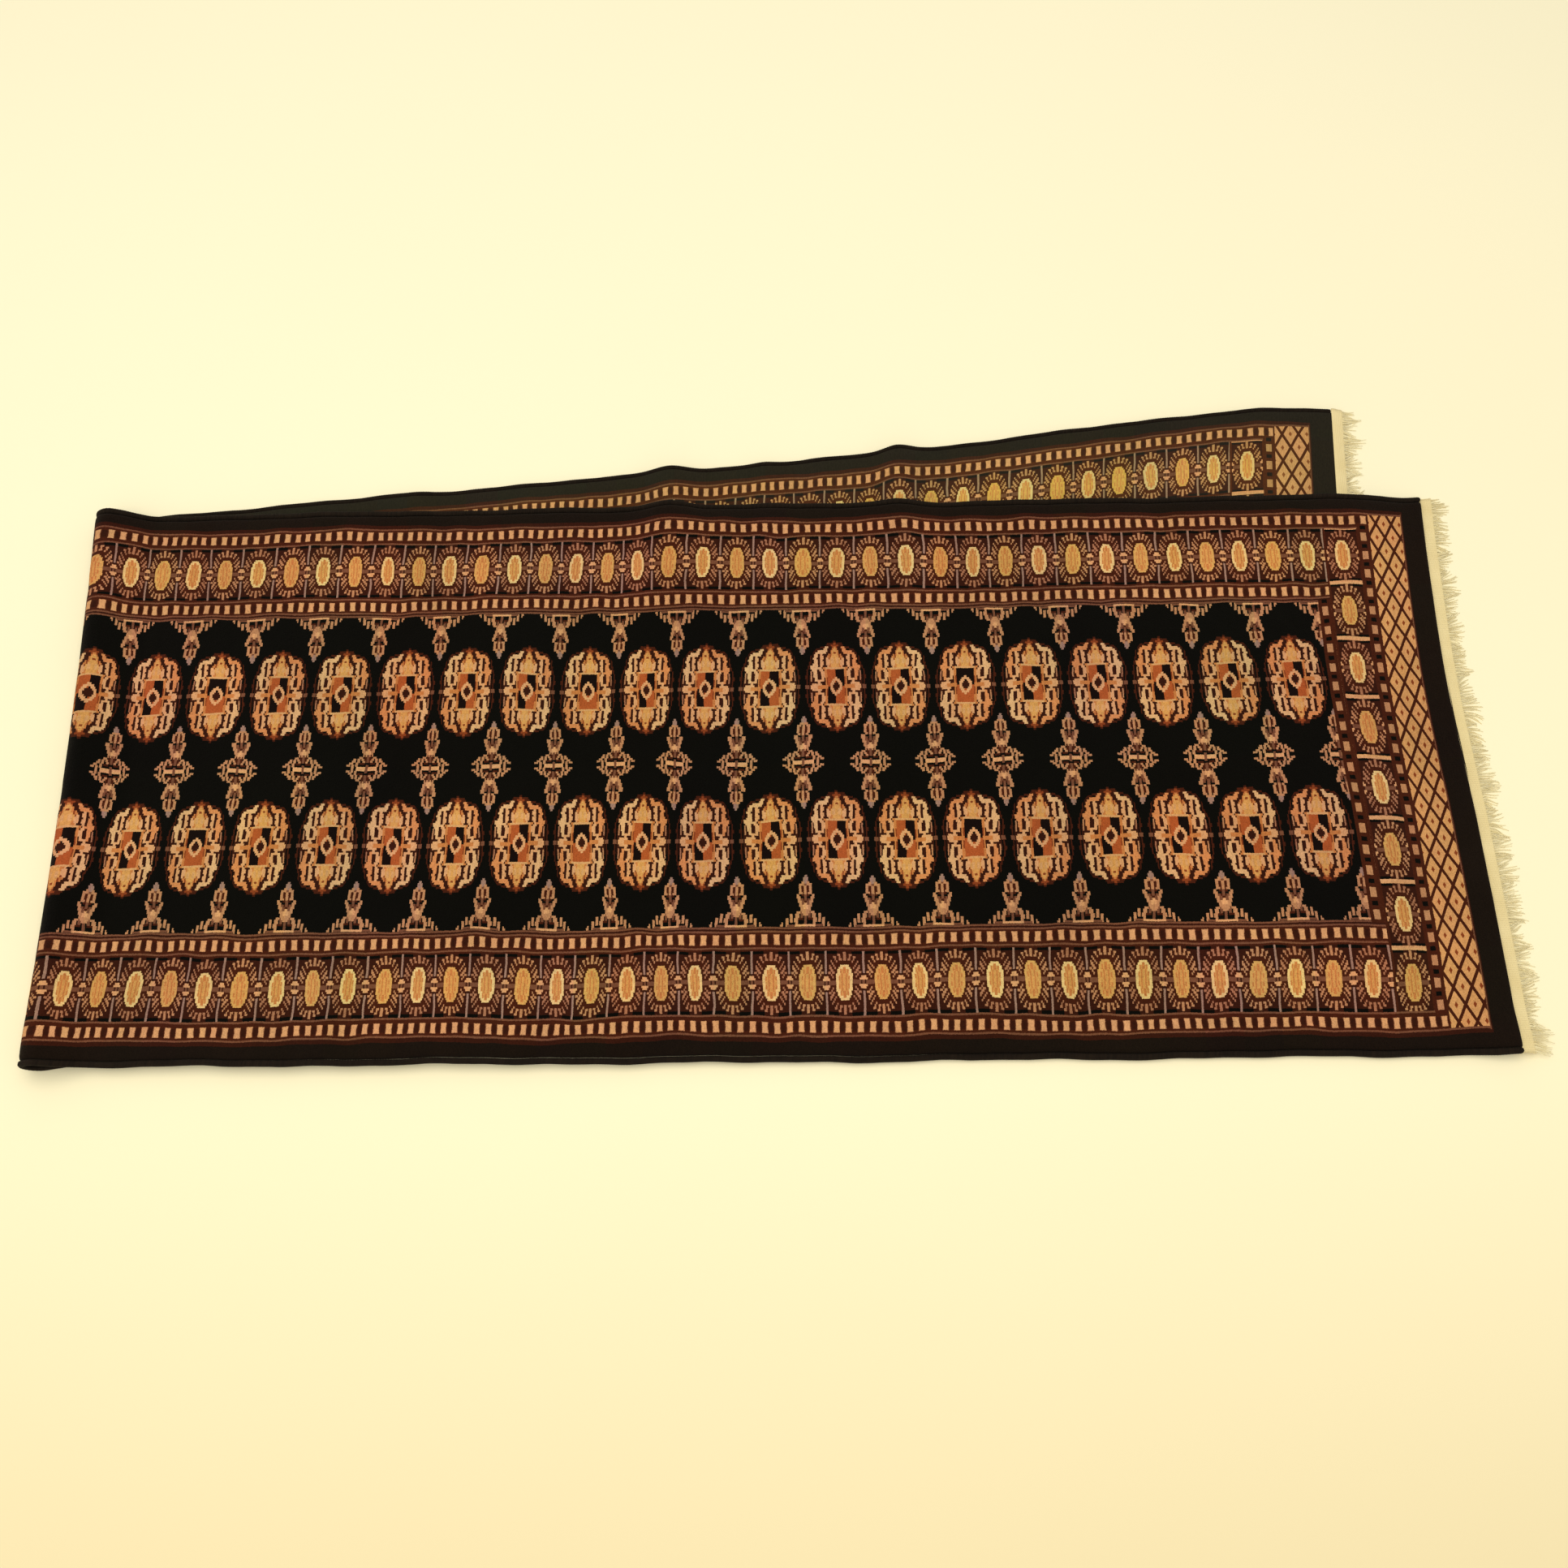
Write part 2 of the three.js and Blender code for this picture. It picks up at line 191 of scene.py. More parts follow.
def lay(a, b):
    """Where the middle of the weave lies: turned by the lean, folded, then bowed, rippled and settled."""
    a, b = np.broadcast_arrays(np.asarray(a, float), np.asarray(b, float))
    p = a * np.cos(LEAN) + b * np.sin(LEAN)
    q = -a * np.sin(LEAN) + b * np.cos(LEAN)
    x, z = fold_section(p)
    reach = np.maximum(np.abs(p) - LEVEL, 0) / BOW_FADE
    x = x - BOW * (2 * b / WIDTH) ** 2 * (1 - ease(reach))
    u, v = lower_plan(x, q, b)
    past = np.maximum(-a - LOWER, 0)
    fall = LOWER_LEVEL - WEB_THICKNESS / 2 - SEAM
    below = np.stack([u, v, z + humps(RIPPLES, u, v) - fall * ease(past / (1.6 * WEB))], -1)
    u = x * np.cos(LEAN) - q * np.sin(LEAN)
    v = x * np.sin(LEAN) + q * np.cos(LEAN)
    wander = along_table(END_WANDER, b, 1) * ease((a - WANDER_START) / (WANDER_FULL - WANDER_START))
    held = support(u, v)
    corner = np.hypot(a - UPPER, b + WIDTH / 2)
    lift = (humps(RIPPLES, u, v) + humps(WAVES, u, v) * held
            + CURL * (1 - ease(corner / CURL_REACH)) - (UPPER_LEVEL - MIDDLE) * (1 - held))
    above = np.stack([u + wander, v, z + ease((p - LEVEL) / LIFT_RUN) * lift], -1)
    return np.where((p < END)[..., None], below, above)


def edge_wander(a, b):
    """How far the long edges wander sideways: three sine waves along them, times the square of how far the
    point is into the outer EDGE_WANDER_REACH."""
    side = np.sign(b)
    wave = np.sin(a / 53 + 2 * side) + 0.7 * np.sin(a / 24 + side) + 0.4 * np.sin(a / 11)
    return wave * np.clip((np.abs(b) - WIDTH / 2 + EDGE_WANDER_REACH) / EDGE_WANDER_REACH, 0, 1) ** 2


def place(a, b, h):
    """Frame position in metres of a point of the flat rug: the weave's middle moved along its normal, and
    sideways where its edge wanders."""
    a, b, h = np.broadcast_arrays(*(np.asarray(n, float) for n in (a, b, h)))
    normal = np.cross(lay(a + 1, b) - lay(a - 1, b), lay(a, b + 1) - lay(a, b - 1))
    normal /= np.linalg.norm(normal, axis=-1, keepdims=True)
    point = lay(a, b) + normal * (h - MIDDLE)[..., None] - ORIGIN
    point[..., 1] += edge_wander(a, b)
    return point / 1000


# ---------------------------------------------------------------- making meshes


def soft_noise(a, b, wave, seed):
    """Smooth unevenness of about -1 to 1: the mean of 14 sine waves of random heading, length and phase."""
    draw = np.random.default_rng(seed)
    heading, phase = draw.uniform(0, 2 * np.pi, (2, 14))
    length = wave * draw.uniform(0.7, 1.6, 14)
    total = 0
    for turn, start, reach in zip(heading, phase, length):
        total = total + np.sin(2 * np.pi * (a * np.cos(turn) + b * np.sin(turn)) / reach + start)
    return total * (2 / 14) ** 0.5 * 0.7


def tube_faces(count, rings, sides):
    """Quads round `count` closed tubes of `rings` rings, and one face over each end."""
    tube, ring, side = np.indices((count, rings - 1, sides))
    start = (tube * rings + ring) * sides
    after = (side + 1) % sides
    quads = np.stack([start + side, start + after, start + sides + after, start + sides + side], -1)
    first = np.arange(count)[:, None] * rings * sides
    round_it = np.arange(sides)[None]
    ends = np.concatenate([first + round_it[:, ::-1], first + (rings - 1) * sides + round_it])
    return quads.reshape(-1, 4), ends


def mesh_piece(name, flat, shape, finishes, attributes, bake=None):
    """Folds points of the flat rug, keeps them above the floor and puts them into a new mesh. shape is
    (tubes, rings, sides)."""
    quads, ends = tube_faces(*shape)
    corners = np.concatenate([quads.ravel(), ends.ravel()])
    sizes = np.concatenate([np.full(len(quads), 4), np.full(len(ends), shape[2])])
    mesh = bpy.data.meshes.new(name)
    points = place(*flat.reshape(-1, 3).T)
    points[:, 2] = np.maximum(points[:, 2], FLOOR_GAP)
    mesh.vertices.add(len(points))
    mesh.vertices.foreach_set("co", points.ravel().astype(np.float32))
    mesh.loops.add(len(corners))
    mesh.loops.foreach_set("vertex_index", corners.astype(np.int32))
    mesh.polygons.add(len(sizes))
    mesh.polygons.foreach_set("loop_start", np.concatenate([[0], np.cumsum(sizes)[:-1]]).astype(np.int32))
    mesh.polygons.foreach_set("use_smooth", np.arange(len(sizes)) < len(quads))
    for attribute, values in attributes.items():
        layer = mesh.attributes.new(attribute, "FLOAT_VECTOR", "POINT")
        layer.data.foreach_set("vector", values.reshape(-1).astype(np.float32))
    if bake is not None:
        bake = bake.reshape(-1, 4, 2)
        over_ends = np.repeat(bake[quads_at_ends(shape), 0], shape[2], axis=0)
        layer = mesh.uv_layers.new(name="OFBake", do_init=False)
        places = np.concatenate([bake.reshape(-1, 2), over_ends])
        layer.uv.foreach_set("vector", places.ravel().astype(np.float32))
    for finish in finishes:
        mesh.materials.append(finish)
    mesh.update(calc_edges=True)
    piece = bpy.data.objects.new(name, mesh)
    bpy.context.scene.collection.objects.link(piece)
    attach(piece, "root")
    return piece


def quads_at_ends(shape):
    """Numbers of the first quad on the first and on the last stretch of each tube."""
    count, rings, sides = shape
    first = np.arange(count) * (rings - 1) * sides
    return np.concatenate([first, first + (rings - 2) * sides])


def strip_map(along, girth, strips, left, right):
    """Bake map of a grid of quads, cut into equal strips side by side, with a little room between them."""
    length = along[-1] - along[0]
    middle = (along[:-1] + along[1:]) / 2 - along[0]
    strip = np.minimum((middle / length * strips).astype(int), strips - 1)
    v0 = (along[:-1] - along[0]) / length * strips - strip
    v1 = (along[1:] - along[0]) / length * strips - strip
    across = girth / girth[-1]
    wide = (right - left) / strips
    room = 0.003
    u0 = left + wide * strip[:, None] + room + (wide - 2 * room) * across[None, :-1]
    u1 = left + wide * strip[:, None] + room + (wide - 2 * room) * across[None, 1:]
    v0, v1 = (np.clip(0.01 + 0.98 * v, 0.002, 0.998)[:, None] + 0 * u0 for v in (v0, v1))
    return np.stack([np.stack([u0, v0], -1), np.stack([u1, v0], -1),
                     np.stack([u1, v1], -1), np.stack([u0, v1], -1)], 2)


# ---------------------------------------------------------------- the pattern's layout

KNOT_ALONG, KNOT_ACROSS = 1.62, 2.75
ROWS_A_MEDALLION, ROWS_A_SUN = 52, 27.6
MEDALLION_PITCH, SUN_PITCH = 84.2, 44.0
# number of the medallion, and of the border's sun, at places along the rug: neither is knotted quite evenly
MEDALLIONS = np.array([
    (-21.5, -1740), (-19, -1536), (-1, -66), (0, 14), (1, 97), (5, 434), (8, 676), (10, 830), (15, 1258),
    (19, 1604), (22, 1862)])
SUNS = np.array([
    (-40.7, -1740), (-38, -1620), (-33, -1398), (-27, -1130), (0, 0), (10, 438), (19, 824), (28, 1235),
    (38, 1685), (41, 1820)])


def woven_places(flat, seed):
    """What the pattern is read by: flat places with the knots' own drift, and the numbers at them."""
    a, b, h = flat[..., 0], flat[..., 1], flat[..., 2]
    drift = 0.9 * soft_noise(a, b, 170, seed) + 0.7 * soft_noise(a, b, 40, seed + 2)
    b = b + 1.1 * soft_noise(a, b, 230, seed + 1) + 0.8 * soft_noise(a, b, 48, seed + 3)
    a = a + drift
    medallion = np.interp(a, MEDALLIONS[:, 1], MEDALLIONS[:, 0])
    sun = np.interp(a, SUNS[:, 1], SUNS[:, 0])
    end = np.where(a > 0, UPPER - flat[..., 0], LOWER + flat[..., 0])
    return {"weave": np.stack([a, b, h], -1), "count": np.stack([medallion, sun, end], -1)}


# ---------------------------------------------------------------- the knotted cloth

EDGE = WIDTH / 2 - CORD_WIDTH - SEAM
FOUNDATION, PILE_GAP = 2.42, 0.04
PILE_SHOULDER = [(0, FOUNDATION + PILE_GAP), (0, 5), (1.2, 7.5), (4.7, 8.75)]
FACING_DOWN = 20  # below this place the pile lies on the floor or round the fold, and its top only dips
PILE_FLAT = 10.7
PILE_COLUMNS, BACK_COLUMNS, HIDDEN_COLUMNS = 93, 49, 27
# rows: from, to, steps; closer together where the rug bends
STRETCHES = [(-1740, -40, 212), (-40, 36, 50), (36, 100, 16), (100, 1806, 213)]
END_ROUND = 5.0


def cloth_rows(extra):
    """Where the rows of points lie along the rug, with some extra ones close to both ends."""
    rows = np.concatenate([np.linspace(start, stop, steps + 1) for start, stop, steps in STRETCHES])
    extra = np.asarray(extra)
    return np.unique(np.concatenate([rows, -LOWER + extra, UPPER - extra]).round(4))


def knotted_pile(finish):
    """Pile: its section, with worn round shoulders, carried along the rug and rounded down at both ends.
    Its top undulates by a third of a millimetre."""
    shoulder = np.array([(EDGE - inwards, h) for inwards, h in PILE_SHOULDER])
    top = np.linspace(EDGE - PILE_FLAT, PILE_FLAT - EDGE, PILE_COLUMNS)
    below = np.linspace(-EDGE, EDGE, HIDDEN_COLUMNS)[1:-1]
    b = np.concatenate([shoulder[:, 0], top, -shoulder[::-1, 0], below])
    h = np.concatenate([shoulder[:, 1], 0 * top + THICKNESS, shoulder[::-1, 1],
                        0 * below + FOUNDATION + PILE_GAP])
    tops = len(b) - len(below)
    rows = cloth_rows([0.02, 0.6, 1.6, 3.0, END_ROUND])
    a, b = np.meshgrid(rows, b, indexing="ij")
    from_end = np.minimum(UPPER - a, LOWER + a)
    closing = np.clip(1 - from_end / END_ROUND, 0, 1)
    rise = np.where(from_end < 0.01, 0.01, 0.55 + 0.45 * np.sqrt(1 - closing ** 2))
    uneven = 0.3 * soft_noise(a, b, 38, 1) + 0.12 * soft_noise(a, b, 18, 2)
    uneven = np.where(a < FACING_DOWN, np.minimum(uneven, 0), uneven) * np.clip((h - 5) / 4, 0, 1)
    h = FOUNDATION + PILE_GAP + (h + uneven - FOUNDATION - PILE_GAP) * rise
    flat = np.stack([a, b, h], -1)
    girth = np.r_[0, np.cumsum(np.hypot(np.diff(b[50]), np.diff(h[50])))]
    bake = np.zeros((len(rows) - 1, b.shape[1], 4, 2))
    split = np.searchsorted(rows, 0)
    bake[split:, :tops - 1] = strip_map(rows[split:], girth[:tops], 2, 0, 0.74)
    bake[:split, :tops - 1] = strip_map(rows[:split + 1], girth[:tops], 1, 0.74, 0.96)
    bake[:, tops - 1:] = strip_map(rows, np.arange(b.shape[1] - tops + 2.0), 1, 0.96, 1)
    return mesh_piece("knotted_pile", flat, (1, *b.shape), [finish], woven_places(flat, 3), bake)


def woven_back(finish):
    """Foundation with the backs of the knots: a flat section with eased edges, carried along the rug."""
    top = np.linspace(EDGE, -EDGE, HIDDEN_COLUMNS)
    below = np.linspace(0.8 - EDGE, EDGE - 0.8, BACK_COLUMNS)
    b = np.concatenate([top, [-EDGE], below, [EDGE]])
    h = np.concatenate([0 * top + FOUNDATION, [0.6], 0 * below, [0.6]])
    rows = cloth_rows([0.5])
    a, b = np.meshgrid(rows, b, indexing="ij")
    flat = np.stack([a, b, h + 0 * a], -1)
    girth = np.r_[0, np.cumsum(np.hypot(np.diff(flat[50, :, 1]), np.diff(flat[50, :, 2])))]
    bake = np.zeros((len(rows) - 1, b.shape[1], 4, 2))
    split = np.searchsorted(rows, 0)
    hidden = len(top) - 1
    bake[:split, hidden:] = strip_map(rows[:split + 1], np.r_[girth[hidden:], girth[-1] + 2], 2, 0, 0.6)
    bake[split:, hidden:] = strip_map(rows[split:], np.r_[girth[hidden:], girth[-1] + 2], 1, 0.6, 0.96)
    bake[:, :hidden] = strip_map(rows, girth[:hidden + 1], 1, 0.96, 1)
    return mesh_piece("woven_back", flat, (1, *b.shape), [finish], woven_places(flat, 3), bake)


# ---------------------------------------------------------------- the side cords

RIB, CORD_SIDES = 3.3, 8


def wound_cord(name, side, finish):
    """Side cord: an upright oval carried along the edge, its radius rippled by the turns of yarn round it."""
    a = np.arange(-LOWER, UPPER, RIB / 3)
    a = np.r_[a[:-1], UPPER][:, None]
    turn = 2 * np.pi * (np.arange(CORD_SIDES) + 0.5)[None] / CORD_SIDES
    uneven = 1 + 0.02 * soft_noise(a, 0 * a, 25, 11 + side)
    radius = uneven * (0.985 + 0.045 * np.cos(2 * np.pi * a / RIB + turn))
    from_end = np.minimum(UPPER - a, LOWER + a)
    radius = radius * np.interp(from_end, [0, 1, 2.6], [0.6, 0.88, 1])
    b = side * (WIDTH - CORD_WIDTH) / 2 + CORD_WIDTH / 2 * radius * np.cos(turn)
    h = THICKNESS / 2 + CORD_HEIGHT / 2 * radius * np.sin(turn)
    flat = np.stack([a + 0 * b, b, h], -1)
    wind = {"wind": np.stack([a + 0 * b, turn + 0 * b, 0 * b + side], -1)}
    girth = np.arange(CORD_SIDES + 1.0)
    bake = strip_map(a[:, 0], girth, 16, 0, 1)
    return mesh_piece(name, flat, (1, *b.shape), [finish], wind, bake)


# ---------------------------------------------------------------- the ends

STRANDS = 550
STRAND_RINGS, STRAND_SIDES = 7, 5
TUFT = 20.0


def woven_web(name, end, finish):
    """Flat woven strip past the last knots: its section carried along it, in ribs where the weft passes."""
    length = UPPER if end > 0 else LOWER
    beyond = np.r_[0.15, 0.6, np.arange(1.2, WEB, 0.5), WEB]
    a = np.sort(end * (length + beyond))
    across = np.linspace(WIDTH / 2 - 0.5, 0.5 - WIDTH / 2, 129)
    b = np.concatenate([across, across[::-1]])
    a, b = np.meshgrid(a, b, indexing="ij")
    past = np.abs(a) - length
    rib = 0.12 * np.cos(2 * np.pi * past / 2 + 1.2 * soft_noise(a, b, 60, 21)) - 0.1
    thin = np.interp(past, [0.15, 2, WEB - 1, WEB], [0.8, 1, 1, 0.6])
    upper = np.arange(b.shape[1]) < len(across)
    h = MIDDLE + np.where(upper, 1, -1) * (WEB_THICKNESS / 2 + rib) * thin
    past_edge = 0.6 * soft_noise(a, 0 * a, 14, 22 + end)
    b = b * (1 - 0.002 * np.clip((past - 3) / 13, 0, 1)) + np.sign(b) * past_edge * (np.abs(b) > 383)
    flat = np.stack([a, b, h], -1)
    return mesh_piece(name, flat, (1, *b.shape), [finish], {"weave": flat})


def fringe_tufts(name, end, finish):
    """Loose warp ends: tapered strands that lean together into uneven tufts, bend and come down to rest."""
    draw = np.random.default_rng(31 + end)
    count = STRANDS
    root = np.linspace(3 - WIDTH / 2, WIDTH / 2 - 3, count) + draw.normal(0, 0.35, count)
    clump = soft_noise(root, 0 * root, 26, 41 + end)
    reach = (TUFT * (0.86 + 0.28 * soft_noise(root, 0 * root, 33, 43 + end))
             * draw.uniform(0.65, 1.25, count))
    lean = 5.5 * clump + draw.normal(0, 1.6, count)
    curl = draw.normal(0, 1.5, count)
    t = np.linspace(0, 1, STRAND_RINGS)[None]
    past = -1.5 + (reach[:, None] + 1.5) * t
    b = root[:, None] + lean[:, None] * t ** 1.5 + curl[:, None] * np.sin(np.pi * t) * t
    lift = draw.uniform(0, 0.9, count)[:, None]
    h = MIDDLE + (lift - 0.2) * np.sin(np.pi * t) - (0.55 - 0.3 * draw.uniform(0, 1, count)[:, None]) * t
    length = UPPER if end > 0 else LOWER
    path = np.stack([end * (length + WEB + past), b, h], -1)
    radius = (0.78 - 0.5 * t) * draw.uniform(0.8, 1.15, count)[:, None]
    flat = tubes(path, radius, STRAND_SIDES)
    tuft = np.stack([np.broadcast_to(n[..., None], flat.shape[:3]) for n in (
        past, b, np.broadcast_to(draw.uniform(0, 1, count)[:, None], b.shape))], -1)
    return mesh_piece(name, flat, flat.shape[:3], [finish], {"strand": tuft}, strand_map(flat.shape[:3]))


def tubes(path, radius, sides):
    """Closed tubes along many paths: a ring round each point, square to the path there."""
    ahead = np.gradient(path, axis=1)
    ahead /= np.linalg.norm(ahead, axis=-1, keepdims=True)
    beside = np.cross([0, 0, 1.0], ahead)
    beside /= np.linalg.norm(beside, axis=-1, keepdims=True)
    over = np.cross(ahead, beside)
    turn = 2 * np.pi * np.arange(sides) / sides
    ring = beside[:, :, None] * np.cos(turn)[:, None] + over[:, :, None] * np.sin(turn)[:, None]
    return path[:, :, None] + radius[..., None, None] * ring


def strand_map(shape):
    """Bake map of many strands: each has a cell of its own in a grid, with its length up the cell."""
    count, rings, sides = shape
    wide = 40
    high = -(-count // wide)
    strand, ring, side = np.indices((count, rings - 1, sides))
    corners = []
    for right, up in [(0, 0), (1, 0), (1, 1), (0, 1)]:
        u = (strand % wide + 0.06 + 0.88 * (side + right) / sides) / wide
        v = (strand // wide + 0.06 + 0.88 * (ring + up) / (rings - 1)) / high
        corners.append(np.stack([u, v], -1))
    return np.stack(corners, -2)


# ---------------------------------------------------------------- making materials


class Value:
    """A number, colour or vector on a socket. Arithmetic adds Math nodes; a comparison gives 1 or 0."""

    def __init__(self, finish, socket):
        self.finish, self.socket = finish, socket

    def math(self, operation, *values):
        return self.finish.node("ShaderNodeMath", {"operation": operation}, dict(enumerate(values)))

    def vector(self, operation, *values, output=0, scale=None):
        inputs = dict(enumerate((self, *values)))
        if scale is not None:
            inputs["Scale"] = scale
        return self.finish.node("ShaderNodeVectorMath", {"operation": operation}, inputs, output)

    def also(self, output):
        """Another output of the node that this one comes from."""
        return Value(self.finish, self.socket.node.outputs[output])

    def __add__(self, other):
        return self.math("ADD", self, other)

    def __sub__(self, other):
        return self.math("SUBTRACT", self, other)

    def __rsub__(self, other):
        return self.math("SUBTRACT", other, self)

    def __mul__(self, other):
        return self.math("MULTIPLY", self, other)

    def __truediv__(self, other):
        return self.math("DIVIDE", self, other)

    def __mod__(self, other):
        return self.math("FLOORED_MODULO", self, other)

    def __lt__(self, other):
        return self.math("LESS_THAN", self, other)

    def __gt__(self, other):
        return self.math("GREATER_THAN", self, other)

    def __abs__(self):
        return self.math("ABSOLUTE", self)

    __radd__, __rmul__ = __add__, __mul__


def floor(value):
    return value.math("FLOOR", value)


def fract(value):
    return value.math("FRACT", value)


def least(one, two):
    return one.math("MINIMUM", one, two)


def greatest(one, two):
    return one.math("MAXIMUM", one, two)


def from_nearest(value):
    """How far a number is from the nearest whole one, with its sign."""
    return fract(value + 0.5) - 0.5


MIXES = {"FLOAT": (0, 2, 3, 0), "VECTOR": (0, 4, 5, 1), "RGBA": (0, 6, 7, 2)}


def mix(share, nothing, whole, kind="FLOAT"):
    """nothing where share is 0, whole where it is 1, a mix of both between."""
    factor, a, b, result = MIXES[kind]
    return share.finish.node(
        "ShaderNodeMix", {"data_type": kind}, {factor: share, a: nothing, b: whole}, result)


class Finish:
    """A material in the making."""

    def __init__(self, name):
        self.material = bpy.data.materials.new(name)
        self.material.use_nodes = True
        self.tree = self.material.node_tree
        self.shader = self.tree.nodes["Principled BSDF"]

    def feed(self, socket, value):
        """Links a value to a socket, or sets a plain number or colour on it."""
        if isinstance(value, Value):
            self.tree.links.new(value.socket, socket)
        else:
            socket.default_value = value

    def node(self, kind, settings=None, inputs=None, output=0):
        """A node of that type: its settings first, a ramp's stops among them, then its inputs."""
        made = self.tree.nodes.new(kind)
        for setting, value in (settings or {}).items():
            if setting == "stops":
                set_stops(made.color_ramp, value)
            else:
                setattr(made, setting, value)
        for key, value in (inputs or {}).items():
            self.feed(made.inputs[key], value)
        return Value(self, made.outputs[output])

    def attribute(self, name):
        """A vector carried by the mesh, and its three parts."""
        whole = self.node("ShaderNodeAttribute", {"attribute_name": name}, output="Vector")
        return whole, self.parts(whole)

    def parts(self, vector):
        first = self.node("ShaderNodeSeparateXYZ", inputs={0: vector})
        return first, first.also(1), first.also(2)

    def join(self, *numbers):
        return self.node("ShaderNodeCombineXYZ", inputs=dict(enumerate(numbers)))

    def noise(self, vector, scale, detail=1.0, output="Fac", roughness=0.5):
        return self.node("ShaderNodeTexNoise", {}, {
            "Vector": vector, "Scale": scale, "Detail": detail, "Roughness": roughness}, output)

    def chance(self, vector, output="Value"):
        """Random number or colour for each whole vector."""
        return self.node("ShaderNodeTexWhiteNoise", {"noise_dimensions": "3D"}, {"Vector": vector}, output)

    def bump(self, strength, distance, height):
        """Normal of a relief of that height, in metres at full strength."""
        return self.node("ShaderNodeBump", {}, {
            "Strength": strength, "Distance": distance, "Height": height})

    def ramp(self, position, stops, kind="LINEAR"):
        return self.node("ShaderNodeValToRGB", {"stops": (kind, stops)}, {0: position})

    def wear(self, **inputs):
        """Sets the shader's own sockets; the underscores in their names stand for spaces."""
        for name, value in inputs.items():
            self.feed(self.shader.inputs[name.replace("_", " ")], value)
        return self.material


def set_stops(ramp, kind_and_stops):
    """Gives a ramp its interpolation and its stops, in place of the two it comes with."""
    kind, stops = kind_and_stops
    ramp.interpolation = kind
    ramp.elements.remove(ramp.elements[1])
    for number, (position, colour) in enumerate(stops):
        element = ramp.elements[0] if number == 0 else ramp.elements.new(position)
        element.position = position
        element.color = colour


def linear(*colour):
    """Linear colour from screen numbers 0 to 255: ((c + 0.055) / 1.055)^2.4, or c / 12.92 when small."""
    c = np.array(colour) / 255
    return tuple(np.where(c < 0.04045, c / 12.92, ((c + 0.055) / 1.055) ** 2.4)) + (1.0,)


# ---------------------------------------------------------------- charts of knots
# A quarter of each figure, which is turned over for the other three. Each line of a chart is one line of
# knots along the rug, the first one through the figure's middle; its letters are knots, from the middle
# outwards. The letters' places in YARNS are the yarns' numbers.

YARNS = ".drgiptmqowekbyz"

MEDALLION = """
eeeppqqoooooooopppppemmm
eepppqqroeeepppppppee.d
qpppqqqroeeeeppeeeeee.d
pppqqqqroepppppiieete.d
pqqqqqqroeppeeeiieete.dd
qqqqqqqoopppeeeiiiete.dd
qqqqqqqoopppeeeiiiet..d
qqqqqqqoopppeeeiiiet..d
qqqqqqqooepppeeiiiie..d
wwwwwwwwooepiiiiiiii.d
gggoopeeeeppeeiiiiiidd
gggopppeepppeeiiiie.d
gwwgpppeepppeeiiie.dd
gwwgpppeeeppeeiiie.d
gwwgrppeepppeeeiii.d
gggrooeeepppeeiiie.d
ggoroeeeeeppeeiiie.d
rgoeeeeiiiiiiiiiee
ggoeeeiiiiiiiieeee
goeeeeiiie..ddddd
oreeeiiidddd
rrrdddd
rddddd
d
"""

CROSS = """
mppppppp..tt
m......tt.tt.ttt
..dddd.tt..ttt
mdtt..tt.ttt
mddtt.tt.tt
mdd.ttt
mtdt
pptt
ppttt
pmmtt
dmmttt
mdmmtt
m.mmttt
m...ttt
tdtt
tddtt
tddtt
tddtt
t.ttt
ttt
zz
zz
z
.
"""

PENDANT = """
ppppppppmmmmmmt..tt
m.....tt.....tt..t
m.....ttt.tt.tt
m.ddddttt.tt.tt
m.mm.ttt..tt
ttmm.ttt..tt
tttmttt
tttt
pptt
ppttt
pmmtt
dmmttt
mdmmtt
m...ttt
mdd..tt
tdttt
tddtt
tddtt
tddtt
mtttt
ztt
zz
zz
z
"""

SUN = """
goggyymmmmmmem
gogoyydddddppp
gogoyyddtdddpp
gogyyydddtddee
ogoyyddttdttez
ogoyydddttdeez
oyyyddtddtteez
yyyddddtddteez
ddddddddteeeez
dddddtddeteeez
tdttddteeeeeez
tddtddtteeeeez
tddtteeeeeeeez
teeee........z
eeeee........z
"""

MOST_ROWS = 32  # rows of knots that a chart's ramp can hold


def chart_stops(chart):
    """A chart as the stops of a ramp, one for each letter of its lines. Red, green, blue and alpha each
    hold one bit of the yarn number of every line: line v counts for 2^-(v + 1)."""
    lines = chart.split()
    rows = max(len(line) for line in lines)
    numbers = np.array([[YARNS.index(knot) for knot in line.ljust(rows, ".")] for line in lines])
    bits = numbers[..., None] >> np.arange(4) & 1
    worth = 0.5 ** (np.arange(len(lines)) + 1.0)
    filled = np.einsum("v,vrk->rk", worth, bits)
    stops = [(row / MOST_ROWS, tuple(filled[row])) for row in range(rows)]
    return stops + [(rows / MOST_ROWS, (0, 0, 0, 0))]


def band_stops(bands, start, stop):
    """Bands as the stops of a ramp from start to stop: red is the yarn number in sixteenths, green and blue
    are as given."""
    stops = [((first - start) / (stop - start), (YARNS.index(yarn) / 16, green, blue, 1))
             for first, yarn, green, blue in bands]
    return [(max(position, 0), colour) for position, colour in stops]


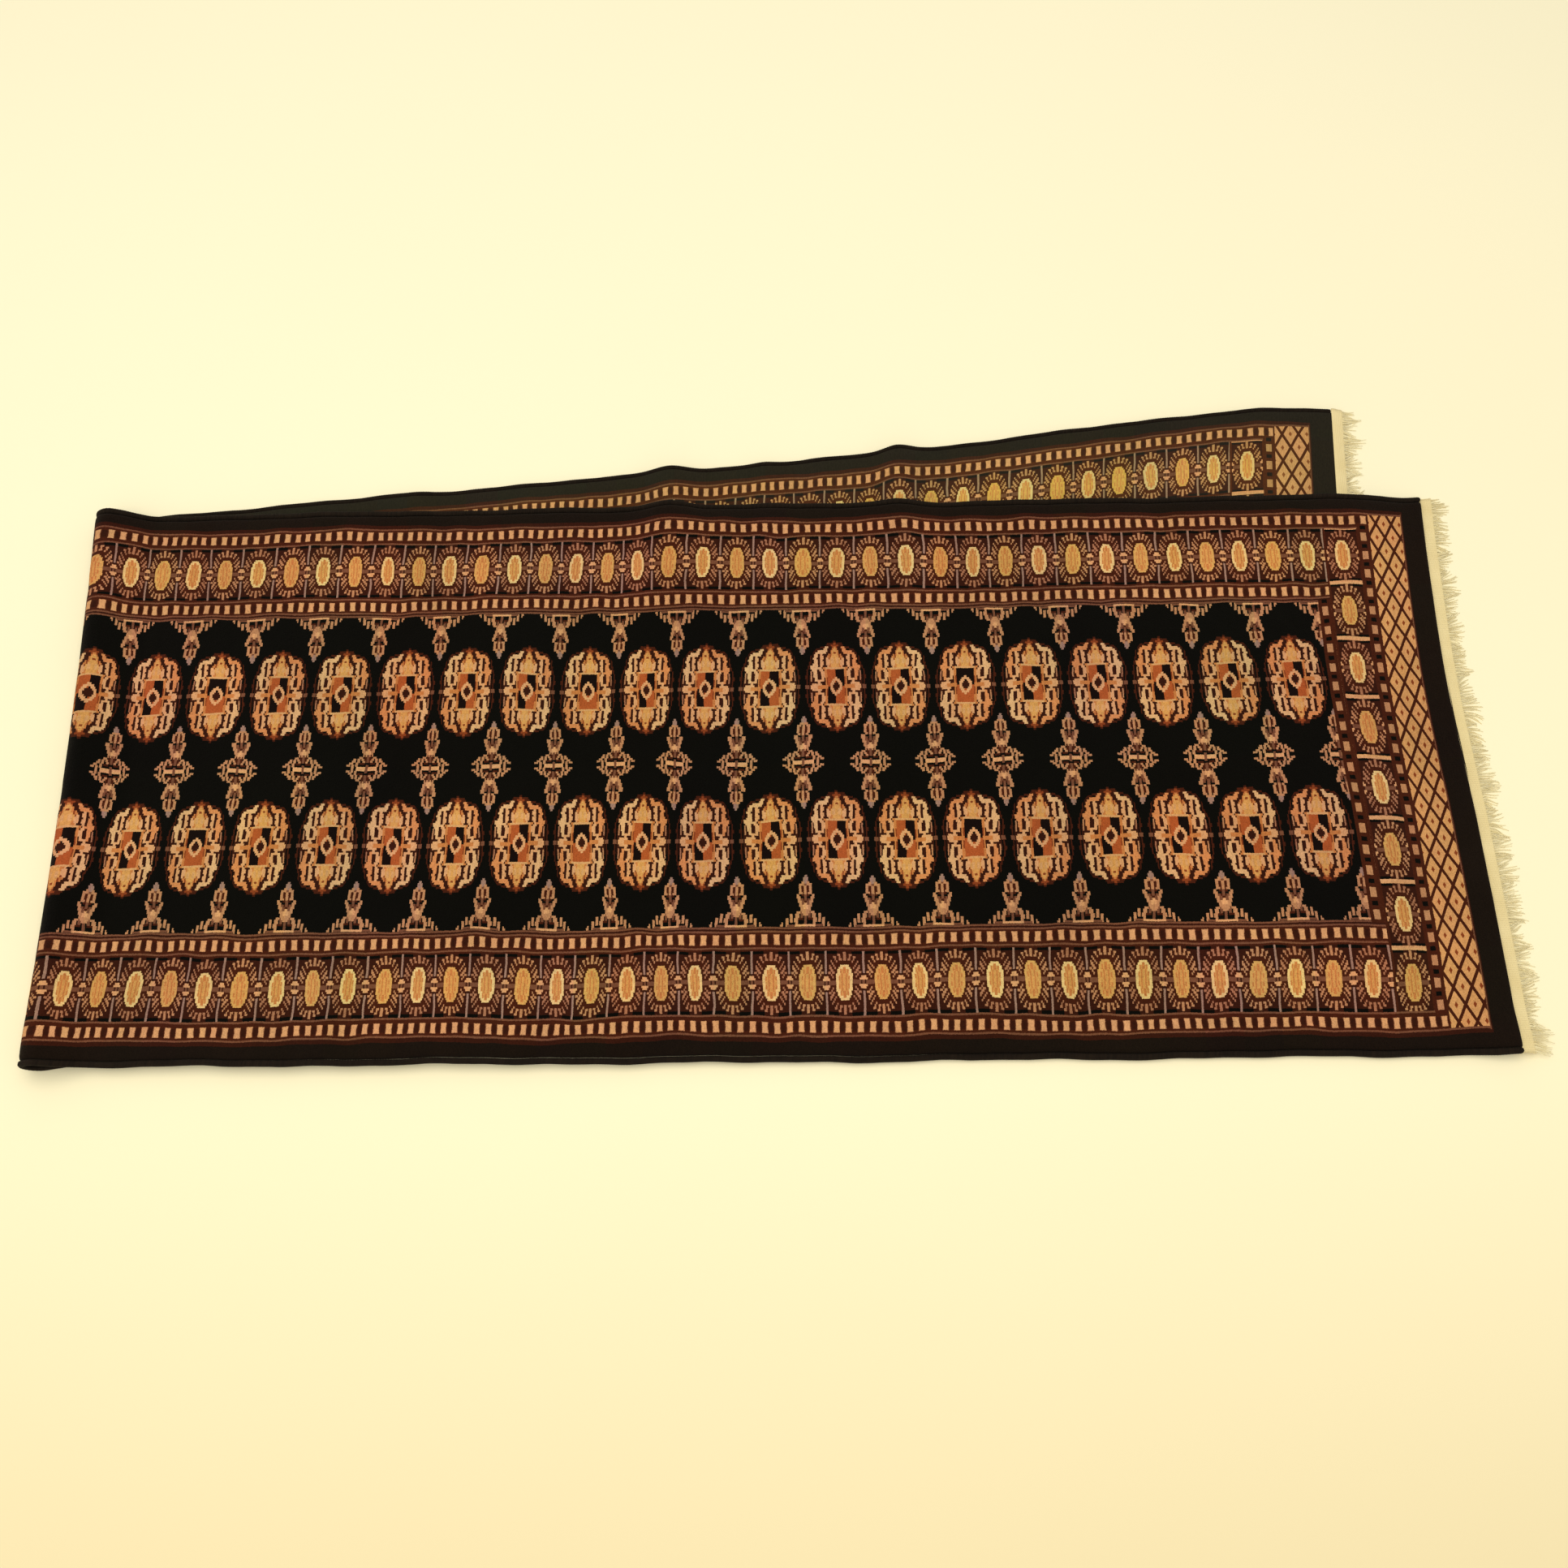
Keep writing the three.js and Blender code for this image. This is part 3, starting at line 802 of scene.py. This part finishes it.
FIELD = 219  # half width of the field between the side borders
ROW_MIDDLE = 106  # of the medallions' two rows
MEDALLION_ROWS, MEDALLION_LINES = 26, 24.6  # from its middle to its outline
NEAR_BORDER = 110  # crosses are nearer the middle, pendants nearer the border
TURNED = 12.5  # number of the medallion past which the ivory lobes change sides
SUN_FROM, SUN_MIDDLE, SUN_COLUMN_MIDDLE, COLUMN_FROM = 240, 289.5, 118, 142
COLUMN_REACH = 300  # in the column of suns only the side bands beyond this show
COLUMN_EDGE, COLUMN_BAR, COLUMN_BAR_FROM = 12.9, 13.2, 14.2  # rows, rows and lines round its suns
END_CELL, END_SHIFT = 83.5, 3
GUARD_MIDDLES = (88, 150)
LADDER_MIDDLES = (235.5, 343)
RUNGS_A_SUN = 3.12
# share of a rung's room, and height from the ladder's middle, of the dark gap and a rung's rim and core
RUNG_GAP, RUNG_RIM, RUNG_CORE = (0.34, 5), (0.23, 6.6), (0.18, 5.9)
RUNG_FLARE = 0.006
# the same for the guards' dark gaps and light oblongs
OBLONG_GAP, OBLONG = (0.4, 3.5), (0.22, 3.8)
LOZENGE_LONG, LOZENGE_WIDE, LOZENGE_START = 22.5, 42.8, 24.25
LOZENGE_DOT, LOZENGE_LINE = 0.4, 0.095
# bands across the rug: distance from its middle, yarn, 1 where it covers the charts, 1 for a ladder
SIDE_BANDS = [
    (200, ".", 0, 0), (219, "m", 1, 0), (221.6, "e", 1, 0), (224, "m", 1, 0), (226.2, "d", 1, 0),
    (228, "d", 1, 1), (243, "d", 1, 0), (245, "m", 1, 0), (247.6, "d", 1, 0), (250, ".", 0, 0),
    (329, "m", 1, 0), (331.6, "d", 1, 0), (336, "d", 1, 1), (350, "d", 1, 0), (352, "m", 1, 0),
    (354.6, "e", 1, 0), (360, "k", 1, 0)]
SIDE_BANDS_FROM, SIDE_BANDS_TO = 200, 400
# bands at the ends: distance from the end, yarn, 0.5 for a guard or 1 for the lozenges, and how far they
# reach to each side, in parts of END_BANDS_REACH
END_BANDS = [
    (0, "k", 0, 1), (30, "e", 0, 0.9), (31.5, "m", 0, 0.89), (33, ".", 1, 0.88), (79, "d", 0, 0.88),
    (81, "d", 0.5, 0.835), (95, ".", 0, 0), (142, "d", 0.5, 0.555), (158, ".", 0, 0)]
END_BANDS_TO, END_BANDS_REACH = 180, 400


def knot_numbers(f, across, medallion, sun, end):
    """What is knotted at a place of the flat rug: the yarn's number; 1 in two opposite quarters of a
    medallion and in every second sun, where some yarns change; the figure's number, side and kind; and 1 in
    the ladders, guards and lozenges. Figures' numbers only have to differ, for their tints."""
    def chart(letters, row):
        """A chart's bits at that row: three in the colour, the fourth in alpha."""
        colour = f.ramp(row * (1 / MOST_ROWS), chart_stops(letters), "CONSTANT")
        return colour, colour.also("Alpha")

    def pick(mask, yes, no):
        """One chart's bits where the mask is 1, another's elsewhere."""
        return mix(mask, no[0], yes[0], "VECTOR"), mix(mask, no[1], yes[1])

    side = abs(across)
    turn = from_nearest(medallion)
    from_row = side - ROW_MIDDLE
    u = abs(turn) * ROWS_A_MEDALLION
    v = abs(from_row) * (1 / KNOT_ACROSS)
    nearness = (u * u) * MEDALLION_ROWS ** -2 + (v * v) * MEDALLION_LINES ** -2
    inside = nearness < 1
    between = ROWS_A_MEDALLION / 2 - u
    by_border = side > NEAR_BORDER
    figure = pick(by_border, chart(PENDANT, between), chart(CROSS, between))
    line = mix(by_border, side, FIELD - side) * (1 / KNOT_ACROSS)
    figure = pick(inside, chart(MEDALLION, u), figure)
    line = mix(inside, line, v)
    # the suns of the side borders, and of the column at each end
    in_column = end < COLUMN_FROM
    cell = (across + END_SHIFT) * (1 / END_CELL)
    s = mix(in_column, abs(from_nearest(sun)) * ROWS_A_SUN, abs(end - SUN_COLUMN_MIDDLE) * (1 / KNOT_ALONG))
    t = mix(in_column, abs(side - SUN_MIDDLE) * (1 / KNOT_ACROSS),
            abs(fract(cell) - 0.5) * (END_CELL / KNOT_ACROSS))
    sunny = greatest(side > SUN_FROM, in_column)
    figure = pick(sunny, chart(SUN, s), figure)
    line = mix(sunny, line, t)
    # line v of a chart: shift its bit in front of the point, drop what is before and after it
    shift = line.math("POWER", 2.0, floor(line) + 1)
    bits = figure[0].vector("SCALE", scale=shift).vector("MODULO", (2, 2, 2)).vector("FLOOR")
    eights = floor((figure[1] * shift).math("MODULO", figure[1] * shift, 2.0))
    yarn = bits.vector("DOT_PRODUCT", (1, 2, 4), output=1) + eights * 8
    yarn = mix(in_column * (s > COLUMN_EDGE), yarn, YARNS.index("d"))
    yarn = mix(in_column * (s < COLUMN_BAR) * (t > COLUMN_BAR_FROM), yarn, YARNS.index("p"))
    # quarters: rust or black by the middle, ivory lobes the other way round before medallion TURNED
    number = floor(medallion + 0.5)
    halved = (number % 6).math("COMPARE", number % 6, 2.0, 0.5)
    top = across * from_row
    quarter = mix(halved, turn, 1.0) * top > 0
    lobes = mix(number < TURNED, (turn * top) > 0, (turn * top) < 0)
    quarter = mix(yarn.math("COMPARE", yarn, float(YARNS.index("i")), 0.5), quarter, lobes)
    sun_number = mix(in_column, floor(sun + 0.5), floor(cell))
    other = mix(sunny, quarter * inside, sun_number % 2)
    number = mix(sunny, number, sun_number + 60)
    # lines and ladders along the sides
    reach = mix(in_column, side, greatest(side, COLUMN_REACH))
    band = f.ramp((reach - SIDE_BANDS_FROM) * (1 / (SIDE_BANDS_TO - SIDE_BANDS_FROM)),
                  band_stops(SIDE_BANDS, SIDE_BANDS_FROM, SIDE_BANDS_TO), "CONSTANT")
    band_yarn, cover, ladder = f.parts(band)
    height = least(abs(reach - LADDER_MIDDLES[0]), abs(reach - LADDER_MIDDLES[1]))
    rungs = sun * RUNGS_A_SUN
    from_rung = abs(from_nearest(rungs))
    yarn = mix(cover, yarn, band_yarn * 16)
    yarn = mix(ladder * (from_rung > RUNG_GAP[0]) * (height < RUNG_GAP[1]), yarn, YARNS.index("e"))
    spread = from_rung - height * RUNG_FLARE
    yarn = mix(ladder * (spread < RUNG_RIM[0]) * (height < RUNG_RIM[1]), yarn, YARNS.index("t"))
    yarn = mix(ladder * (spread < RUNG_CORE[0]) * (height < RUNG_CORE[1]), yarn, YARNS.index("p"))
    number = mix(ladder, number, floor(rungs + 0.5) + floor(reach * 0.01) * 300)
    # bands at the ends: guards of small oblongs, and the lozenges
    band = f.ramp(end * (1 / END_BANDS_TO), band_stops(END_BANDS, 0, END_BANDS_TO), "CONSTANT")
    band_yarn, kind, limit = f.parts(band)
    from_guard = least(abs(end - GUARD_MIDDLES[0]), abs(end - GUARD_MIDDLES[1]))
    oblongs = cell * 3
    from_oblong = abs(fract(oblongs) - 0.5)
    guard = mix((from_guard < OBLONG_GAP[1]) * (from_oblong > OBLONG_GAP[0]),
                YARNS.index("d"), YARNS.index("."))
    guard = mix((from_guard < OBLONG[1]) * (from_oblong < OBLONG[0]), guard, YARNS.index("t"))
    x, y = (end - LOZENGE_START) * (1 / LOZENGE_LONG), (across + END_SHIFT) * (1 / LOZENGE_WIDE)
    rising, falling = x + y, x - y
    inner = least(0.5 - abs(fract(rising) - 0.5), 0.5 - abs(fract(falling) - 0.5))
    lozenge = mix(inner > LOZENGE_DOT, YARNS.index("b"), YARNS.index("r"))
    lozenge = mix(inner < LOZENGE_LINE, lozenge, YARNS.index("d"))
    figured, lozenged = kind > 0.25, kind > 0.75
    ending = mix(figured, band_yarn * 16, guard)
    ending = mix(lozenged, ending, lozenge)
    here = side < limit * END_BANDS_REACH
    yarn = mix(here, yarn, ending)
    number = mix(here * figured, number, floor(oblongs) + floor(end * 0.01) * 40 + 900)
    number = mix(here * lozenged, number, floor(rising) * 7 + floor(falling) * 31)
    loose = greatest(ladder, here * figured)
    return yarn, other * (1 - loose), f.join(number, across > 0, sunny + loose * 2), loose


# yarn colours as they look in the light, 0 to 255, and those that change in the other quarters and suns
PILE_YARNS = {
    ".": (7, 6, 3), "d": (64, 26, 11), "r": (126, 58, 26), "g": (198, 142, 76), "i": (196, 126, 74),
    "p": (202, 147, 98), "t": (174, 122, 82), "m": (110, 68, 46), "q": (160, 78, 36), "o": (184, 114, 60),
    "w": (198, 146, 92), "e": (50, 20, 9), "k": (23, 15, 8), "b": (200, 144, 88), "y": (198, 148, 80),
    "z": (146, 112, 94)}
PILE_OTHERS = {"i": (204, 158, 108), "q": (18, 8, 5), "y": (216, 180, 116), "t": (158, 106, 74)}
BACK_YARNS = {
    ".": (34, 29, 19), "d": (78, 42, 18), "r": (134, 82, 42), "g": (208, 164, 78), "i": (206, 152, 84),
    "p": (206, 154, 96), "t": (178, 136, 80), "m": (112, 76, 46), "q": (160, 92, 44), "o": (196, 134, 68),
    "w": (216, 172, 104), "e": (60, 34, 18), "k": (36, 32, 20), "b": (200, 150, 90), "y": (206, 164, 76),
    "z": (150, 124, 88)}
BACK_OTHERS = {"i": (204, 178, 116), "q": (32, 25, 17), "y": (214, 188, 112)}
# brightness before the knots, lots and fibres add theirs, with the painted sheen, glints and shade
PILE_SHADE, BACK_SHADE = 0.3, 0.4


def yarn_stops(yarns, others):
    """Ramp of the yarns' colours, one stop a yarn, then the same with the changed ones."""
    seen = [yarns[name] for name in YARNS] + [others.get(name, yarns[name]) for name in YARNS]
    return [(number / len(seen), linear(*colour)) for number, colour in enumerate(seen)]


def yarn_colour(f, yarn, other, yarns, others):
    """Colour of a yarn number, read in the middle of its stop; other moves it to the changed ones."""
    return f.ramp(yarn * (1 / 32) + (other * 0.5 + 0.5 / 32), yarn_stops(yarns, others), "CONSTANT")


def tinted(f, colour, figure, loose, much):
    """Colour with each figure's own dye: a random tint, weaker in the ladders, guards and lozenges."""
    dye = f.chance(figure, "Color").vector("SUBTRACT", (0.5, 0.5, 0.5))
    dye = dye.vector("SCALE", scale=1 - loose * 0.45)
    return colour.vector("MULTIPLY", dye.vector("MULTIPLY_ADD", tuple(much), (1, 1, 1)))


def knotted_wool():
    """Cut pile: charts read through a slight shake, so that knots have soft edges; each knot, figure and
    dye lot a little lighter or darker; broad patches of painted sheen; two tufts to a knot, with fibres on
    them, as relief and as painted shade and glints."""
    f = Finish("knotted_wool_pile")
    weave, (along, across, _) = f.attribute("weave")
    count, _ = f.attribute("count")
    shake, sideways, glint = f.parts(f.noise(weave, 0.8, 1.0, "Color"))
    shake = (shake - 0.5) * 1.1
    across = across + (sideways - 0.5) * 1.5
    along = along + shake
    shaken = shake.vector("MULTIPLY_ADD", (1 / MEDALLION_PITCH, 1 / SUN_PITCH, -1), count)
    medallion, sun, end = f.parts(shaken)
    yarn, other, figure, loose = knot_numbers(f, across, medallion, sun, end)
    colour = yarn_colour(f, yarn, other, PILE_YARNS, PILE_OTHERS)
    colour = tinted(f, colour, figure, loose, (0.12, 0.11, 0.12))
    knot = f.chance(f.join(along * (1 / KNOT_ALONG), across * (1 / KNOT_ACROSS), 0.0).vector("FLOOR"))
    from_tuft = f.node("ShaderNodeTexVoronoi", {"voronoi_dimensions": "2D"}, {
        "Vector": f.join(along * (1 / KNOT_ALONG), across * (2 / KNOT_ACROSS), 0.0),
        "Scale": 1.0, "Randomness": 0.75}, "Distance")
    fibres = f.noise(weave, 2.6, 2.0)
    # broad soft patches in the colour, partly the wool's own tone and partly painted sheen
    broad_sheen_and_tone = f.noise(weave, 1 / 170, 2.0)
    lots = f.noise(f.join(along * (1 / 60), 0.0, 0.0), 1.0, 2.0)
    # painted light in the colour: glint and the fine fibres noise paint glints, from_tuft paints shade
    # between the tufts; knot and lots are the yarn's own tones
    bright = (knot * 0.2 + broad_sheen_and_tone * 0.5 + lots * 0.3 + glint * 0.3 + fibres * 0.5 - from_tuft * 0.45
              + PILE_SHADE)
    relief = fibres * 0.5 - from_tuft + f.noise(weave, 0.12, 1.0) * 1.5
    bump = f.bump(0.6, 0.0009, relief)
    return f.wear(Base_Color=colour.vector("SCALE", scale=bright), Roughness=0.95, Normal=bump,
                  Sheen_Weight=0.03, Sheen_Roughness=0.5, Sheen_Tint=(0.9, 0.75, 0.6, 1),
                  Specular_IOR_Level=0.05)


def wool_back():
    """Back of the knots: the same charts read straight, in duller yarns, each knot two small bumps, painted
    lighter on top and darker in the hollows as shade.
    """
    f = Finish("knotted_wool_back")
    weave, (along, across, _) = f.attribute("weave")
    _, (medallion, sun, end) = f.attribute("count")
    yarn, other, figure, loose = knot_numbers(f, across, medallion, sun, end)
    colour = yarn_colour(f, yarn, other, BACK_YARNS, BACK_OTHERS)
    colour = tinted(f, colour, figure, loose, (0.1, 0.12, 0.16))
    rows, columns = along * (1 / KNOT_ALONG), across * (1 / KNOT_ACROSS)
    knot = f.chance(f.join(rows, columns, 0.0).vector("FLOOR"))
    # broad soft patches in the colour, partly the wool's own tone and partly painted sheen
    broad_sheen_and_tone = f.noise(weave, 1 / 150, 2.0)
    hollow_along = fract(rows) - 0.5
    hollow_across = fract(columns * 2) - 0.5
    height = 1 - hollow_along * hollow_along * 2.6 - hollow_across * hollow_across * 1.6
    # painted shade: the knots' bumps lighter on top and darker in the hollows between them
    bright = knot * 0.2 + broad_sheen_and_tone * 0.5 + height * 0.35 + BACK_SHADE
    bump = f.bump(0.8, 0.0006, height)
    return f.wear(Base_Color=colour.vector("SCALE", scale=bright), Roughness=0.9, Normal=bump,
                  Sheen_Weight=0.03, Sheen_Tint=(0.9, 0.8, 0.6, 1), Specular_IOR_Level=0.08)


def wound_wool():
    """Black yarn wound round the cord: three turns to each rib of the mesh, each turn its own shade."""
    f = Finish("wound_black_wool")
    wind, (along, turn, side) = f.attribute("wind")
    turns = along * (3 / RIB) + turn * (3 / (2 * np.pi))
    strand = fract(turns) - 0.5
    height = 1 - strand * strand * 3.2
    shade = f.chance(f.join(floor(turns), side, 0.0))
    rub = f.noise(f.join(along * (1 / 40), turn * 0.6, side), 1.0, 2.0)
    colour = mix(shade * 0.5 + rub * 0.7 - 0.1, linear(17, 11, 6), linear(38, 28, 18), "RGBA")
    fuzz = f.noise(f.join(along * 1.3, turn * 5.0, side), 1.0, 2.0)
    bump = f.bump(0.8, 0.0007, height + fuzz * 0.5)
    return f.wear(Base_Color=colour, Roughness=mix(height, 0.95, 0.8), Normal=bump,
                  Sheen_Weight=0.02, Sheen_Tint=(0.8, 0.75, 0.6, 1), Specular_IOR_Level=0.08)


def woven_cotton():
    """Cream cotton in plain weave: weft ribs across the strip, warps bulging over them by turns, dust; the
    ribs painted lighter and the grooves darker as shade.
    """
    f = Finish("woven_cream_cotton")
    weave, (along, across, _) = f.attribute("weave")
    weft, warp = along * (2 * np.pi / 2.0), across * (2 * np.pi / 2.8)
    over = (f.noise(weave, 0.35, 2.0) - 0.5) * 2
    ribs = weft.math("SINE", weft + over)
    warps = warp.math("SINE", warp + over * 0.6)
    height = ribs * 0.35 + warps * ribs * 0.3 + 0.5
    dust = f.noise(weave, 1 / 35, 3.0)
    # colour: painted shade from the weave's height, darker in its grooves, and real dust
    colour = mix(height * 0.35 + dust * 0.8 - 0.1, linear(220, 196, 134), linear(244, 226, 172), "RGBA")
    bump = f.bump(0.7, 0.0005, height)
    return f.wear(Base_Color=colour, Roughness=0.9, Normal=bump, Sheen_Weight=0.1, Specular_IOR_Level=0.2)


def loose_cotton():
    """Loose warp ends: each strand its own cream, yellower at its root, with the lines of its twist, painted
    darker in their grooves as shade.
    """
    f = Finish("loose_cream_cotton")
    _, (past, across, own) = f.attribute("strand")
    twist = past * 1.9 + across * 2.4 + own * 30
    lines = fract(twist) - 0.5
    height = 1 - lines * lines * 4
    clump = f.noise(f.join(past * 0.08, across * 0.12, 0.0), 1.0, 1.0)
    share = own * 0.5 + clump * 0.7 + past * 0.012 - 0.25
    colour = mix(share, linear(226, 206, 146), linear(250, 238, 192), "RGBA")
    # painted shade: darker in the grooves of the twist
    colour = colour.vector("SCALE", scale=height * 0.12 + 0.9)
    bump = f.bump(0.5, 0.0003, height)
    return f.wear(Base_Color=colour, Roughness=0.9, Normal=bump, Sheen_Weight=0.15, Specular_IOR_Level=0.2)


# ---------------------------------------------------------------- the pieces

pile = knotted_pile(knotted_wool())
back = woven_back(wool_back())
wound, web_cotton, end_cotton = wound_wool(), woven_cotton(), loose_cotton()
cord_far = wound_cord("side_binding_far", 1, wound)
cord_near = wound_cord("side_binding_near", -1, wound)
web_upper = woven_web("woven_end_upper", 1, web_cotton)
web_lower = woven_web("woven_end_lower", -1, web_cotton)
tufts_upper = fringe_tufts("fringe_upper_strands", 1, end_cotton)
tufts_lower = fringe_tufts("fringe_lower_strands", -1, end_cotton)

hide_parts("rug_body")
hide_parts("rug_body")
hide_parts("side_cord_far")
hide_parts("side_cord_near")
for web, tufts, node in [(web_upper, tufts_upper, "fringe_upper"),
                         (web_lower, tufts_lower, "fringe_lower")]:
    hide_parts(node)
    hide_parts(node)

# ---------------------------------------------------------------- floor and light


FLOOR_FADE = 1.2  # metres in front of and behind the middle over which the floor's colour changes


def studio_floor():
    """Plain pale floor with painted shade: darker in front, a touch darker behind than in the middle, with
    the faintest unevenness of tone.
    """
    f = Finish("pale_floor")
    spot = f.node("ShaderNodeTexCoord", output="Object")
    _, away, _ = f.parts(spot)
    # painted light fall-off: darkest in front, lightest a little in front of the middle
    colour = f.ramp((away + FLOOR_FADE) * (1 / (2 * FLOOR_FADE)), [
        (0, linear(236, 216, 164)), (0.3, linear(252, 241, 200)), (1, linear(248, 239, 203))])
    colour = colour.vector("SCALE", scale=f.noise(spot, 0.9, 3.0) * 0.04 + 0.98)
    return f.wear(Base_Color=colour, Roughness=0.8, Specular_IOR_Level=0.1)


floor_mesh = bpy.data.meshes.new("floor")
floor_mesh.from_pydata([(-9, -9, 0), (9, -9, 0), (9, 9, 0), (-9, 9, 0)], [], [(0, 1, 2, 3)])
floor_mesh.materials.append(studio_floor())
ground = bpy.data.objects.new("floor", floor_mesh)
bpy.context.scene.collection.objects.link(ground)


DAYLIGHT = (1, 0.985, 0.95)


def soft_lamp(name, at, looks, size, power, colour):
    """A square area lamp."""
    lamp = bpy.data.lights.new(name, "AREA")
    lamp.size, lamp.energy, lamp.color = size, power, colour
    lamp_object = bpy.data.objects.new(name, lamp)
    lamp_object.matrix_world = turned_to(at, looks, (0, 1, 0.01))
    bpy.context.scene.collection.objects.link(lamp_object)


soft_lamp("overhead", (-0.5, -0.15, 3.6), (0.12, 0.03, -1), 4.5, 105, DAYLIGHT)

sky = bpy.data.worlds.new("studio")
sky.use_nodes = True
sky.node_tree.nodes["Background"].inputs["Color"].default_value = (*DAYLIGHT, 1)
sky.node_tree.nodes["Background"].inputs["Strength"].default_value = 0.62
bpy.context.scene.world = sky
bpy.context.scene.view_settings.view_transform = "Standard"
